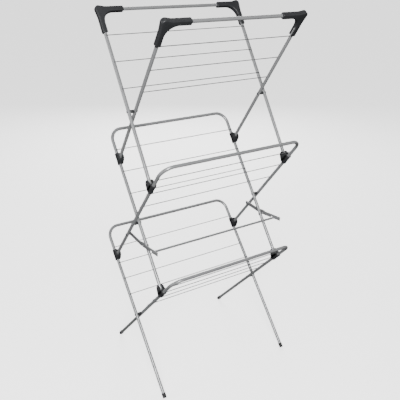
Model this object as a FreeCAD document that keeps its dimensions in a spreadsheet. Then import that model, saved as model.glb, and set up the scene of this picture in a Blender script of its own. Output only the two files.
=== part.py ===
import FreeCAD, Part
import math
import os

import Sketcher

# Folding three-tier clothes airer: six flat tube frames in three scissor crossings, one above another.
# Every frame has a wing that carries drying wires and legs that cross the legs of its partner.
# X runs along the wires, -Y is the front, +Z is up, and the feet stand on Z = 0.

driving = {
    "outerHalfWidth": 285.0,  # rack centre to the axis of the outer legs
    "legStep": 25.0,  # outer leg axis to inner leg axis, along X
    "tubeDiameter": 12.0,
    "tubeWall": 0.9,
    "topLean": 34.3,  # degrees from upright, of the top tier's legs
    "upperArm": 368.0,  # crossing rivet to the axis of a frame's bar
    "lowerArm": 252.0,  # crossing rivet to the pin at the leg's lower end
    "footArm": 334.0,  # bottom crossing rivet to where the leg's axis meets the floor
    "legSideGap": 2.7,  # pinned leg to the sleeve of the tube that it folds against
    "bendRadius": 45.0,  # hoop corners, at the tube's axis
    "tubeBeyondPin": 4.0,
    "wireDiameter": 3.0,
    "wireSink": 0.2,  # weld depth of a wire in the tube that it lies on
    "wireOverhang": 2.5,  # wire end beyond the leg's axis
    "topFirstWire": 0.7383,  # uppermost wire's height, as a share of the upper arm
    "topWireStep": 0.2617,
    "middleFirstWire": 1.1341,  # the other tiers' wires go by shares of the lower arm
    "middleWireStep": 0.3457,
    "bottomFirstWire": 1.1159,
    "bottomWireStep": 0.2619,
    "rivetRadius": 2.5,
    "headRim": 2.1,  # rivet head beyond the shank
    "headCrown": 0.3,  # flat top of the head beyond the shank
    "headHeight": 1.7,
    "runningClearance": 0.08,  # radial, in the holes that turn on their rivets
    "openPivotClearance": 0.15,  # radial, at the middle and top crossings
    "sideClearance": 0.35,  # along X, between parts that turn past each other
    "spacerWall": 3.2,
    "sleeveWall": 3.0,  # connector round its tube
    "cheekWall": 4.0,
    "sleeveAbove": 21.0,
    "sleeveBelow": 22.0,
    "sleeveTip": 8.0,  # width of the connector's lower edge beyond the tube's axis
    "lobeWall": 8.5,  # cheek beyond the pinned leg, round the pin
    "cornerWall": 3.3,
    "cornerBarReach": 90.0,
    "cornerToWire": 10.3,  # end of a corner's leg arm to the first wire
    "cornerSlot": 36.0,  # open length of the leg arm on its inner side
    "cornerInnerRadius": 40.0,
    "earRadius": 12.0,
    "earInset": 1.0,
    "earRise": 2.0,
    "earRun": 22.0,
    "earDrop": 28.0,
    "swingGap": 0.8,  # round a pinned leg as it turns in its connector
    "channelSlack": 0.1,  # between the slot's walls and the leg
    "plugHead": 2.0,
    "plugInsert": 14.0,
    "capWall": 1.5,
    "capTop": 22.0,  # these three go up the leg from where its axis meets the floor
    "capEnd": 3.5,
    "tubeEnd": 8.0,
    "stayDrop": 81.5,  # middle crossing rivet to the stay's pivot, down the leg
    "studBelow": 6.5,  # catch stud lower down its leg than the stay's pivot
    "stayThickness": 3.0,
    "stayHeight": 15.0,
    "stayEar": 10.0,
    "stayKink": 92.0,
    "stayKinkDrop": 3.0,
    "stayLength": 212.0,
    "stayRise": 7.5,  # degrees, from the kink to the end
    "stayHump": 4.0,
    "humpBehind": 22.0,  # start, peak and end of the hump over the hook, from the stud
    "humpPeak": 4.0,
    "humpAhead": 16.0,
    "crossbarReach": 183.0,
    "crossbarRadius": 4.0,
    "notchReach": 164.0,
    "notchWidth": 14.0,
    "notchDepth": 6.0,
    "studRadius": 3.0,
    "studOverhang": 1.5,
}

doc = FreeCAD.newDocument("ClothesAirer")
sheet = doc.addObject("Spreadsheet::Sheet", "Sizes")
values = {}
nodes = {}


def size(name, value):
    """Puts a number in the sheet under its own name and returns it."""
    row = len(values) + 1
    sheet.set("A%d" % row, name)
    sheet.set("B%d" % row, repr(float(value)))
    sheet.setAlias("B%d" % row, name)
    values[name] = float(value)
    return values[name]


for name, value in driving.items():
    size(name, value)


def v(name):
    return values[name]


def vector(x, y, z):
    return FreeCAD.Vector(x, y, z)


size("tubeRadius", v("tubeDiameter") / 2)
size("sleeveRadius", v("tubeRadius") + v("sleeveWall"))
size("pinOffset", v("sleeveRadius") + v("tubeRadius") + v("legSideGap"))

# Lean of each tier. A pin stands off its tube by pinOffset,
# so each tier leans a little more than the one above.
leanStep = math.degrees(math.asin(v("pinOffset") / v("lowerArm")))
topLean = v("topLean")
middleLean = topLean + leanStep
bottomLean = middleLean + leanStep


def rise(length, lean):
    return length * math.cos(math.radians(lean))


def run(length, lean):
    return length * math.sin(math.radians(lean))


bottomCrossing = rise(v("footArm"), bottomLean)
middleCrossing = bottomCrossing + 2 * rise(v("lowerArm"), middleLean)
topCrossing = middleCrossing + 2 * rise(v("lowerArm"), topLean)

size("innerHalfWidth", v("outerHalfWidth") - v("legStep"))
size("tubeBore", v("tubeRadius") - v("tubeWall"))
size("wireRadius", v("wireDiameter") / 2)
size("runningRadius", v("rivetRadius") + v("runningClearance"))
size("openPivotRadius", v("rivetRadius") + v("openPivotClearance"))
size("legLowerEnd", v("lowerArm") + v("tubeBeyondPin"))
size("footTubeEnd", v("footArm") - v("tubeEnd"))
size("legTopLength", v("upperArm") + v("tubeRadius") + v("legLowerEnd"))
size("slotWidth", v("tubeDiameter") + 2 * v("sideClearance"))
size("connectorWidth", v("slotWidth") + 2 * v("cheekWall"))
size("connectorFoot", rise(v("lowerArm"), leanStep))
size("lobeRadius", v("tubeRadius") + v("lobeWall"))
size("slotReach", v("pinOffset") + 2 * v("lobeRadius"))
size("slotHeight", 4 * v("lobeRadius"))
size("legSwing", math.hypot(v("tubeRadius"), v("tubeBeyondPin") + v("plugHead")) + v("swingGap"))
size("sleeveLength", v("sleeveAbove") + v("sleeveBelow"))
size("pinShank", v("connectorWidth"))
size("legGap", v("legStep") - v("tubeDiameter"))
size("spacerLength", v("legGap") - 2 * v("sideClearance"))
size("crossingShank", v("legStep") + v("tubeDiameter") + v("sideClearance"))
size("headRadius", v("rivetRadius") + v("headRim"))
size("headTopRadius", v("rivetRadius") + v("headCrown"))
size("spacerRadius", v("rivetRadius") + v("spacerWall"))
size("outerWire", 2 * (v("outerHalfWidth") + v("wireOverhang")))
size("innerWire", 2 * (v("innerHalfWidth") + v("wireOverhang")))
size("outerBar", 2 * (v("outerHalfWidth") - v("tubeRadius")))
size("innerBar", 2 * (v("innerHalfWidth") - v("tubeRadius")))
size("holeSpan", 2 * v("outerHalfWidth") + 4 * v("tubeDiameter"))
size("cornerHalf", v("tubeRadius") + v("cornerWall"))
size("cornerThickness", 2 * v("cornerHalf"))
size("cornerLegReach", v("upperArm") * (1 - v("topFirstWire")) - v("cornerToWire"))
size("cornerBore", v("cornerLegReach") + v("tubeRadius"))
size("channelWidth", v("tubeDiameter") + 2 * v("channelSlack"))
size("stayCentre", (v("outerHalfWidth") + v("innerHalfWidth")) / 2)
size("capRadius", v("tubeRadius") + v("capWall"))
size("capSpan", v("capTop") - v("capEnd"))
size("floorWidth", 8 * v("capRadius"))
size("floorSpan", 2 * v("footArm"))
size("studDrop", v("stayDrop") + v("studBelow"))
size("plugSpan", v("plugHead") + v("plugInsert"))


def frame(tier, rear, lean, crossing, width):
    """A flat frame: local X across, local Z up along its legs from the crossing rivet."""
    turn = FreeCAD.Rotation(vector(1, 0, 0), -lean if rear else lean)
    return {
        "name": "%s_%s" % (tier, "rear" if rear else "front"),
        "place": FreeCAD.Placement(vector(0, 0, crossing), turn),
        "face": -1 if rear else 1,  # side of local Y that carries the wires and faces the rack's centre
        "half": v(width + "HalfWidth"),
        "width": width,
    }


outer, inner = v("outerHalfWidth"), v("innerHalfWidth")
topRear = frame("top", True, topLean, topCrossing, "outer")
topFront = frame("top", False, topLean, topCrossing, "inner")
middleRear = frame("middle", True, middleLean, middleCrossing, "inner")
middleFront = frame("middle", False, middleLean, middleCrossing, "outer")
bottomRear = frame("bottom", True, bottomLean, bottomCrossing, "outer")
bottomFront = frame("bottom", False, bottomLean, bottomCrossing, "inner")
upright = FreeCAD.Placement()
sides = {"left": -1, "right": 1}


def bind(item, prop, name):
    item.setExpression(prop, "Sizes." + name)


def keep(item, label):
    item.Label = label
    nodes[label] = item
    return item


def cylinder(radius, length, place, base, axis):
    solid = doc.addObject("Part::Cylinder", "Rod")
    bind(solid, "Radius", radius)
    bind(solid, "Height", length)
    local = FreeCAD.Placement(base, FreeCAD.Rotation(vector(0, 0, 1), axis))
    solid.Placement = place.multiply(local)
    return solid


def fuse(items):
    solid = doc.addObject("Part::MultiFuse", "Joined")
    solid.Shapes = items
    return solid


def cut(base, tools):
    solid = doc.addObject("Part::Cut", "Cut")
    solid.Base = base
    solid.Tool = tools[0] if len(tools) == 1 else fuse(tools)
    return solid


def group(items):
    loose = doc.addObject("Part::Compound", "Group")
    loose.Links = items
    return loose


def pinHole(item, z, y, radius):
    """A cylinder right through the rack along X, for cutting both legs' holes at one height."""
    return cylinder(radius, "holeSpan", item["place"], vector(-v("holeSpan") / 2, y, z), vector(1, 0, 0))


def sketchOn(body, role, name):
    sketch = body.newObject("Sketcher::SketchObject", name)
    plane = [f for f in body.Origin.OriginFeatures if f.Role == role][0]
    sketch.AttachmentSupport = (plane, [""])
    sketch.MapMode = "FlatFace"
    return sketch


def outline(sketch, corners):
    """Draws a closed outline. Each corner is (x, y), or (x, y, midX, midY) where an arc leads to it."""
    start = corners[-1][:2]
    for corner in corners:
        a, b = vector(start[0], start[1], 0), vector(corner[0], corner[1], 0)
        if len(corner) == 2:
            sketch.addGeometry(Part.LineSegment(a, b), False)
        else:
            sketch.addGeometry(Part.Arc(a, vector(corner[2], corner[3], 0), b), False)
        start = corner[:2]


def tangentPoint(point, centre, radius, turn):
    """Where the line from a point touches a circle; turn is +1 or -1 for the two choices."""
    dx, dy = point[0] - centre[0], point[1] - centre[1]
    angle = math.atan2(dy, dx) + turn * math.acos(radius / math.hypot(dx, dy))
    return centre[0] + radius * math.cos(angle), centre[1] + radius * math.sin(angle)


def wires(item, arm, first, step, count):
    """Drying wires across the legs. first and step are shares of the arm, from the top wire down."""
    length = item["width"] + "Wire"
    lift = v("tubeRadius") + v("wireRadius") - v("wireSink")
    rods = []
    for i in range(count):
        z = v(arm) * (v(first) - i * v(step))
        base = vector(-v(length) / 2, item["face"] * lift, z)
        rods.append(cylinder("wireRadius", length, item["place"], base, vector(1, 0, 0)))
    keep(group(rods), item["name"] + "_wires")


def straightFrame(item, crossingHole):
    """Top tier: two straight legs and a bar, held by moulded corners."""
    lower = -v("legLowerEnd")
    for side, sign in sides.items():
        base = vector(sign * item["half"], 0, lower)
        tube = cylinder("tubeRadius", "legTopLength", item["place"], base, vector(0, 0, 1))
        bore = cylinder("tubeBore", "legTopLength", item["place"], base, vector(0, 0, 1))
        tools = [
            bore,
            pinHole(item, 0, 0, crossingHole),
            pinHole(item, -v("lowerArm"), 0, "runningRadius"),
        ]
        keep(cut(tube, tools), "%s_leg_%s" % (item["name"], side))
    length = item["width"] + "Bar"
    base = vector(-v(length) / 2, 0, v("upperArm"))
    bar = cylinder("tubeRadius", length, item["place"], base, vector(1, 0, 0))
    bore = cylinder("tubeBore", length, item["place"], base, vector(1, 0, 0))
    keep(cut(bar, [bore]), item["name"] + "_bar")


def hoop(item, lowerName, holes):
    """A bent tube: two legs and a bar in one piece, with holes drilled across at the given heights."""
    body = doc.addObject("PartDesign::Body", item["name"] + "_hoop")
    half, top, low, bend = item["half"], v("upperArm"), v(lowerName), v("bendRadius")
    path = sketchOn(body, "XZ_Plane", "Path")
    normal = vector(0, 0, 1)
    leftCentre, rightCentre = vector(bend - half, top - bend, 0), vector(half - bend, top - bend, 0)
    path.addGeometry(
        [
            Part.LineSegment(vector(-half, -low, 0), vector(-half, top - bend, 0)),
            Part.ArcOfCircle(Part.Circle(leftCentre, normal, bend), math.pi / 2, math.pi),
            Part.LineSegment(vector(bend - half, top, 0), vector(half - bend, top, 0)),
            Part.ArcOfCircle(Part.Circle(rightCentre, normal, bend), 0, math.pi / 2),
            Part.LineSegment(vector(half, top - bend, 0), vector(half, -low, 0)),
        ],
        False,
    )
    constraint = Sketcher.Constraint
    path.addConstraint(
        [
            constraint("Tangent", 0, 2, 1, 2),
            constraint("Tangent", 1, 1, 2, 1),
            constraint("Tangent", 2, 2, 3, 2),
            constraint("Tangent", 3, 1, 4, 1),
            constraint("Vertical", 0),
            constraint("Horizontal", 2),
            constraint("Vertical", 4),
            constraint("Equal", 1, 3),
        ]
    )
    driven = [
        (constraint("Radius", 1, bend), "Sizes.bendRadius"),
        (constraint("DistanceY", -1, 1, 2, 1, top), "Sizes.upperArm"),
        (constraint("DistanceX", 0, 1, -1, 1, half), "Sizes." + item["width"] + "HalfWidth"),
        (constraint("DistanceX", -1, 1, 4, 2, half), "Sizes." + item["width"] + "HalfWidth"),
        (constraint("DistanceY", 0, 1, -1, 1, low), "Sizes." + lowerName),
        (constraint("DistanceY", 4, 2, -1, 1, low), "Sizes." + lowerName),
    ]
    for rule, expression in driven:
        index = path.addConstraint(rule)
        path.setExpression("Constraints[%d]" % index, expression)
    for kind, radius in (("AdditivePipe", "tubeRadius"), ("SubtractivePipe", "tubeBore")):
        section = sketchOn(body, "XY_Plane", "Section")
        section.AttachmentOffset = FreeCAD.Placement(vector(0, 0, -low), FreeCAD.Rotation())
        section.setExpression("AttachmentOffset.Base.z", "-Sizes." + lowerName)
        section.addGeometry(Part.Circle(vector(-half, 0, 0), normal, v(radius)), False)
        index = section.addConstraint(constraint("Radius", 0, v(radius)))
        section.setExpression("Constraints[%d]" % index, "Sizes." + radius)
        index = section.addConstraint(constraint("DistanceX", 0, 3, -1, 1, half))
        section.setExpression("Constraints[%d]" % index, "Sizes." + item["width"] + "HalfWidth")
        section.addConstraint(constraint("PointOnObject", 0, 3, -1))
        pipe = body.newObject("PartDesign::" + kind, kind)
        pipe.Profile = section
        pipe.Spine = (path, [])
    drill = sketchOn(body, "YZ_Plane", "Holes")
    for z, radius in holes:
        index = drill.addGeometry(Part.Circle(vector(0, z, 0), normal, v(radius)), False)
        rule = drill.addConstraint(constraint("Radius", index, v(radius)))
        drill.setExpression("Constraints[%d]" % rule, "Sizes." + radius)
    pocket = body.newObject("PartDesign::Pocket", "Drilled")
    pocket.Profile = drill
    pocket.Type = "ThroughAll"
    pocket.SideType = "Symmetric"
    body.Placement = item["place"]
    keep(body, item["name"] + "_hoop")


def connector(item, side):
    """Moulded joint on a hoop's leg: a sleeve, and a pocket between two cheeks for the leg above."""
    sign = sides[side]
    x, foot, face = sign * item["half"], v("connectorFoot"), item["face"]
    label = "%s_connector_%s" % (item["name"], side)
    body = doc.addObject("PartDesign::Body", label)
    centre, radius = (v("pinOffset"), 0.0), v("lobeRadius")
    lowEdge = (v("sleeveTip"), -v("sleeveBelow"))
    lowTouch = tangentPoint(lowEdge, centre, radius, 1)
    highTouch = tangentPoint((0.0, v("sleeveAbove")), centre, radius, -1)
    crest = (centre[0] + radius, 0.0)
    points = [
        (0.0, -v("sleeveBelow")),
        lowEdge,
        lowTouch,
        highTouch + crest,
        (0.0, v("sleeveAbove")),
    ]
    placed = []
    for point in points:
        pairs = zip(point[0::2], point[1::2])
        placed.append(tuple(c for a, b in pairs for c in (face * a, foot + b)))
    cheeks = sketchOn(body, "YZ_Plane", "Cheeks")
    cheeks.AttachmentOffset = FreeCAD.Placement(vector(0, 0, x), FreeCAD.Rotation())
    outline(cheeks, placed)
    pad = body.newObject("PartDesign::Pad", "CheekPad")
    pad.Profile = cheeks
    pad.SideType = "Symmetric"
    bind(pad, "Length", "connectorWidth")
    sleeve = body.newObject("PartDesign::AdditiveCylinder", "Sleeve")
    bind(sleeve, "Radius", "sleeveRadius")
    bind(sleeve, "Height", "sleeveLength")
    sleeve.Placement = FreeCAD.Placement(vector(x, 0, foot - v("sleeveBelow")), FreeCAD.Rotation())
    slot = body.newObject("PartDesign::SubtractiveBox", "Slot")
    bind(slot, "Length", "slotWidth")
    bind(slot, "Width", "slotReach")
    bind(slot, "Height", "slotHeight")
    nearSide = v("sleeveRadius") if face > 0 else -v("sleeveRadius") - v("slotReach")
    slotFloor = foot - v("tubeRadius") - v("swingGap")
    slot.Placement.Base = vector(x - v("slotWidth") / 2, nearSide, slotFloor)
    across = FreeCAD.Rotation(vector(0, 0, 1), vector(1, 0, 0))
    swing = body.newObject("PartDesign::SubtractiveCylinder", "Swing")
    bind(swing, "Radius", "legSwing")
    bind(swing, "Height", "slotWidth")
    swing.Placement = FreeCAD.Placement(
        vector(x - v("slotWidth") / 2, face * v("pinOffset"), foot), across
    )
    bore = body.newObject("PartDesign::SubtractiveCylinder", "TubeBore")
    bind(bore, "Radius", "tubeRadius")
    bind(bore, "Height", "sleeveLength")
    bore.Placement = sleeve.Placement
    hole = body.newObject("PartDesign::SubtractiveCylinder", "PinBore")
    bind(hole, "Radius", "rivetRadius")
    bind(hole, "Height", "connectorWidth")
    hole.Placement = FreeCAD.Placement(
        vector(x - v("connectorWidth") / 2, face * v("pinOffset"), foot), across
    )
    body.Placement = item["place"]
    keep(body, label)


def corners(item):
    """Moulded corners of the top tier, slotted on the inner side at the lower end of the leg arm."""
    label = item["name"] + "_corner_"
    body = doc.addObject("PartDesign::Body", label + "left")
    half, bend = v("cornerHalf"), v("cornerInnerRadius")
    ear, radius = (-v("earInset"), v("earRise")), v("earRadius")
    earTop = tangentPoint((v("earRun"), half), ear, radius, 1)
    earSide = tangentPoint((-half, -v("earDrop")), ear, radius, -1)
    diagonal = radius * math.sqrt(0.5)
    inset = bend * (1 - math.sqrt(0.5))
    points = [
        (v("cornerBarReach"), -half),
        (v("cornerBarReach"), half),
        (v("earRun"), half),
        earTop,
        earSide + (ear[0] - diagonal, ear[1] + diagonal),
        (-half, -v("earDrop")),
        (-half, -v("cornerLegReach")),
        (half, -v("cornerLegReach")),
        (half, -half - bend),
        (half + bend, -half, half + inset, -half - inset),
    ]
    placed = []
    for point in points:
        pairs = zip(point[0::2], point[1::2])
        placed.append(tuple(c for a, b in pairs for c in (a - item["half"], v("upperArm") + b)))
    face = sketchOn(body, "XZ_Plane", "Face")
    outline(face, placed)
    pad = body.newObject("PartDesign::Pad", "FacePad")
    pad.Profile = face
    pad.SideType = "Symmetric"
    bind(pad, "Length", "cornerThickness")
    low = vector(-item["half"], 0, v("upperArm") - v("cornerLegReach"))
    channel = body.newObject("PartDesign::SubtractiveBox", "Channel")
    bind(channel, "Length", "cornerBarReach")
    bind(channel, "Width", "channelWidth")
    bind(channel, "Height", "cornerSlot")
    channel.Placement.Base = low - vector(0, v("channelWidth") / 2, 0)
    legBore = body.newObject("PartDesign::SubtractiveCylinder", "LegBore")
    bind(legBore, "Radius", "tubeRadius")
    bind(legBore, "Height", "cornerBore")
    legBore.Placement.Base = low
    barBore = body.newObject("PartDesign::SubtractiveCylinder", "BarBore")
    bind(barBore, "Radius", "tubeRadius")
    bind(barBore, "Height", "cornerBarReach")
    barBore.Placement = FreeCAD.Placement(
        vector(-item["half"], 0, v("upperArm")), FreeCAD.Rotation(vector(0, 0, 1), vector(1, 0, 0))
    )
    body.Placement = item["place"]
    keep(body, label + "left")
    mirrored = doc.addObject("Part::Mirroring", label + "right")
    mirrored.Source = body
    mirrored.Normal = vector(1, 0, 0)
    keep(mirrored, label + "right")


def endPlugs(item):
    """Plugs in the lower ends of a frame's legs, crossed by the same pins as the legs."""
    plugs = []
    for sign in sides.values():
        tip = vector(sign * item["half"], 0, -v("legLowerEnd") - v("plugHead"))
        insert = cylinder("tubeBore", "plugSpan", item["place"], tip, vector(0, 0, 1))
        head = cylinder("tubeRadius", "plugHead", item["place"], tip, vector(0, 0, 1))
        hole = pinHole(item, -v("lowerArm"), 0, "runningRadius")
        plugs.append(cut(fuse([insert, head]), [hole]))
    keep(group(plugs), item["name"] + "_end_plugs")


def feet(item):
    """Caps on the legs' lower ends, cut flat where they stand on the floor."""
    caps = []
    for sign in sides.values():
        x = sign * item["half"]
        low = vector(x, 0, v("capEnd") - v("footArm"))
        cap = cylinder("capRadius", "capSpan", item["place"], low, vector(0, 0, 1))
        socket = cylinder(
            "tubeRadius", "capSpan", item["place"], vector(x, 0, -v("footTubeEnd")), vector(0, 0, 1)
        )
        ground = doc.addObject("Part::Box", "Ground")
        bind(ground, "Length", "floorWidth")
        bind(ground, "Width", "floorSpan")
        bind(ground, "Height", "floorSpan")
        ground.Placement.Base = vector(x - v("floorWidth") / 2, -v("floorSpan") / 2, -v("floorSpan"))
        caps.append(cut(cap, [socket, ground]))
    keep(group(caps), item["name"] + "_feet")


def rivet(place, y, z, innerX, outerX, shank, sign):
    """A headed rivet along X, from its inner head's face to its outer head's face."""
    outward, inward = vector(sign, 0, 0), vector(-sign, 0, 0)
    parts = [cylinder("rivetRadius", shank, place, vector(sign * innerX, y, z), outward)]
    for x, axis in ((innerX, inward), (outerX, outward)):
        head = doc.addObject("Part::Cone", "Head")
        bind(head, "Radius1", "headRadius")
        bind(head, "Radius2", "headTopRadius")
        bind(head, "Height", "headHeight")
        local = FreeCAD.Placement(vector(sign * x, y, z), FreeCAD.Rotation(vector(0, 0, 1), axis))
        head.Placement = place.multiply(local)
        parts.append(head)
    return fuse(parts)


def connectorPins(item):
    pins = []
    for sign in sides.values():
        y, z = item["face"] * v("pinOffset"), v("connectorFoot")
        start = item["half"] - v("connectorWidth") / 2
        pins.append(rivet(item["place"], y, z, start, start + v("pinShank"), "pinShank", sign))
    keep(group(pins), item["name"] + "_pins")


def crossing(tier, height):
    """Rivets fixed in the outer legs of one crossing, and the spacers between its legs."""
    place = FreeCAD.Placement(vector(0, 0, height), FreeCAD.Rotation())
    outerX = outer + v("tubeRadius")
    rivets, spacers = [], []
    for sign in sides.values():
        rivets.append(rivet(place, 0, 0, outerX - v("crossingShank"), outerX, "crossingShank", sign))
        base = vector(sign * (inner + v("tubeRadius") + v("sideClearance")), 0, 0)
        ring = cylinder("spacerRadius", "spacerLength", place, base, vector(sign, 0, 0))
        bore = cylinder("rivetRadius", "spacerLength", place, base, vector(sign, 0, 0))
        spacers.append(cut(ring, [bore]))
    keep(group(rivets), tier + "_rivets")
    keep(group(spacers), tier + "_spacers")


def stayStrip(side):
    """Flat bar of the locking stay, with a one-sided hook for the catch stud and a notch near its end."""
    label = "stay_strip_" + side
    body = doc.addObject("PartDesign::Body", label)
    half, slope = v("stayHeight") / 2, math.tan(math.radians(v("stayRise")))

    def middle(reach):
        if reach <= v("stayKink"):
            return -v("stayKinkDrop") * reach / v("stayKink")
        return -v("stayKinkDrop") + slope * (reach - v("stayKink"))

    def sweptReach(lift):
        """How far the strip may reach at this height and stay inside the stud's path as the rack folds."""
        sweep = v("studDrop") - v("studRadius") - v("sideClearance")
        depth = rise(v("stayDrop"), middleLean) - lift
        return stayY + math.sqrt(sweep**2 - depth**2) - v("sideClearance")

    hookFront = studReach + v("studRadius") + 2 * v("sideClearance")
    hookTop = studLift + v("studRadius") + v("sideClearance")
    hookBack = sweptReach(hookTop)
    mouthBack = sweptReach(-v("stayKinkDrop") - half)
    notchFront = v("notchReach") + v("notchWidth") / 2
    notchBack = v("notchReach") - v("notchWidth") / 2
    notchTop = middle(v("notchReach")) - half + v("notchDepth")
    humpBack, humpFront = studReach - v("humpBehind"), studReach + v("humpAhead")
    humpTop = studReach - v("humpPeak")
    points = [
        (-v("stayEar"), -half),
        (mouthBack, middle(mouthBack) - half),
        (hookBack, hookTop),
        (hookFront, hookTop),
        (hookFront, middle(hookFront) - half),
        (notchBack, middle(notchBack) - half),
        (notchBack, notchTop),
        (notchFront, notchTop),
        (notchFront, middle(notchFront) - half),
        (v("stayLength"), middle(v("stayLength")) - half),
        (v("stayLength"), middle(v("stayLength")) + half),
        (humpFront, middle(humpFront) + half),
        (
            humpBack,
            middle(humpBack) + half,
            humpTop,
            middle(humpTop) + half + v("stayHump"),
        ),
        (-v("stayEar"), half),
    ]
    placed = []
    for point in points:
        pairs = zip(point[0::2], point[1::2])
        placed.append(tuple(c for a, b in pairs for c in (stayY - a, stayZ + b)))
    face = sketchOn(body, "YZ_Plane", "Face")
    face.AttachmentOffset = FreeCAD.Placement(vector(0, 0, sides[side] * v("stayCentre")), FreeCAD.Rotation())
    outline(face, placed)
    pad = body.newObject("PartDesign::Pad", "Plate")
    pad.Profile = face
    pad.SideType = "Symmetric"
    bind(pad, "Length", "stayThickness")
    along = FreeCAD.Rotation(vector(0, 0, 1), vector(1, 0, 0))
    start = sides[side] * v("stayCentre") - v("stayThickness") / 2
    for radius, y, z in (("runningRadius", stayY, stayZ), ("crossbarRadius", crossbarY, crossbarZ)):
        hole = body.newObject("PartDesign::SubtractiveCylinder", "Hole")
        bind(hole, "Radius", radius)
        bind(hole, "Height", "stayThickness")
        hole.Placement = FreeCAD.Placement(vector(start, y, z), along)
    keep(body, label)


straightFrame(topRear, "rivetRadius")
straightFrame(topFront, "openPivotRadius")
for item in (topRear, topFront):
    wires(item, "upperArm", "topFirstWire", "topWireStep", 3)
    corners(item)
    endPlugs(item)

lowerPin = (-v("lowerArm"), "runningRadius")
hoop(middleRear, "legLowerEnd", [(0, "openPivotRadius"), (-v("studDrop"), "rivetRadius"), lowerPin])
hoop(middleFront, "legLowerEnd", [(0, "rivetRadius"), (-v("stayDrop"), "rivetRadius"), lowerPin])
for item in (middleRear, middleFront):
    wires(item, "lowerArm", "middleFirstWire", "middleWireStep", 3)
    endPlugs(item)
hoop(bottomRear, "footTubeEnd", [(0, "rivetRadius")])
hoop(bottomFront, "footTubeEnd", [(0, "runningRadius")])
for item in (bottomRear, bottomFront):
    wires(item, "lowerArm", "bottomFirstWire", "bottomWireStep", 4)
    feet(item)
for item in (middleRear, middleFront, bottomRear, bottomFront):
    for side in sides:
        connector(item, side)
    connectorPins(item)

for tier, height in (("top", topCrossing), ("middle", middleCrossing), ("bottom", bottomCrossing)):
    crossing(tier, height)

# Locking stay: pivots on the middle front legs and drops over studs on the middle rear legs.
stayY = run(v("stayDrop"), middleLean)
stayZ = middleCrossing - rise(v("stayDrop"), middleLean)
studReach = stayY + run(v("studDrop"), middleLean)
studLift = middleCrossing - rise(v("studDrop"), middleLean) - stayZ
crossbarY = stayY - v("crossbarReach")
crossbarRise = (v("crossbarReach") - v("stayKink")) * math.tan(math.radians(v("stayRise")))
crossbarZ = stayZ - v("stayKinkDrop") + crossbarRise
for side in sides:
    stayStrip(side)
stayFace = v("stayCentre") + v("stayThickness") / 2
size("crossbarSpan", 2 * (stayFace + v("headHeight")))
base = vector(-v("crossbarSpan") / 2, crossbarY, crossbarZ)
keep(cylinder("crossbarRadius", "crossbarSpan", upright, base, vector(1, 0, 0)), "stay_crossbar")

size("pivotShank", outer + v("tubeRadius") - v("stayCentre") + v("stayThickness") / 2 + v("sideClearance"))
size("collarLength", outer - v("tubeRadius") - stayFace - v("sideClearance"))
size("studTail", stayFace + v("studOverhang") - inner - v("tubeRadius"))
pivots, studs = [], []
for sign in sides.values():
    outerX = outer + v("tubeRadius")
    headed = rivet(upright, stayY, stayZ, outerX - v("pivotShank"), outerX, "pivotShank", sign)
    collarBase = vector(sign * (stayFace + v("sideClearance")), stayY, stayZ)
    collar = cylinder("headRadius", "collarLength", upright, collarBase, vector(sign, 0, 0))
    pivots.append(fuse([headed, collar]))
    studY, studZ = stayY - studReach, stayZ + studLift
    innerX, faceX = inner - v("tubeRadius"), inner + v("tubeRadius")
    headed = rivet(upright, studY, studZ, innerX, faceX, "tubeDiameter", sign)
    tail = cylinder("studRadius", "studTail", upright, vector(sign * faceX, studY, studZ), vector(sign, 0, 0))
    studs.append(fuse([headed, tail]))
keep(group(pivots), "stay_pivot_rivets")
keep(group(studs), "stay_catch_studs")

doc.recompute()
for item in doc.Objects:
    if "Invalid" in item.State or "Error" in item.State:
        raise SystemExit("%s failed: %s" % (item.Label, item.State))
for label, item in nodes.items():
    if item.Shape.isNull() or not item.Shape.isValid():
        raise SystemExit(label + " has no valid shape")

os.makedirs("parts", exist_ok=True)
for label, item in nodes.items():
    item.Shape.exportStep("parts/%s.step" % label)
print("nodes", len(nodes))
print("top bar", round(topCrossing + rise(v("upperArm"), topLean), 2))
print("crossings", round(bottomCrossing, 2), round(middleCrossing, 2), round(topCrossing, 2))
print("leans", round(topLean, 3), round(middleLean, 3), round(bottomLean, 3))
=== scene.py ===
import math

import bmesh
import bpy
from mathutils import Matrix, Vector


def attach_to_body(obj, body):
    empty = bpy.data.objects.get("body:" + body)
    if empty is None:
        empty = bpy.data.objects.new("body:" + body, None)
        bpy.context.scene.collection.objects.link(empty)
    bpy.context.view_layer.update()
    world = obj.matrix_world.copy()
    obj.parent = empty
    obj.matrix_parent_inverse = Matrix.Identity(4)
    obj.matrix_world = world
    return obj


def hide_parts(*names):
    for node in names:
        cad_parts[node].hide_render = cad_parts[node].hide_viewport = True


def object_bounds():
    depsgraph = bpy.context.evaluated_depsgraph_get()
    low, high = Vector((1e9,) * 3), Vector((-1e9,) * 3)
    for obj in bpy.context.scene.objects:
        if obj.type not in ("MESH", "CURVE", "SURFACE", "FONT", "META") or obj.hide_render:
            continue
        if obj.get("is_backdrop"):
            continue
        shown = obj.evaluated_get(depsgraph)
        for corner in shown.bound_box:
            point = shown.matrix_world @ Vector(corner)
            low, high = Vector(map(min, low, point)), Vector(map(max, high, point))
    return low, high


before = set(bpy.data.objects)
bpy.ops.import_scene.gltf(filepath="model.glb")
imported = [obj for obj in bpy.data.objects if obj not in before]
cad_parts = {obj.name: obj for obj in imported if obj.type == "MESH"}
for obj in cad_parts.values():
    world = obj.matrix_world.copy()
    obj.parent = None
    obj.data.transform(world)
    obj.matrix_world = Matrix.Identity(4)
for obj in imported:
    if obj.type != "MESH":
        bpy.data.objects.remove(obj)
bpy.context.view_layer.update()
mm = 0.001

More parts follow.
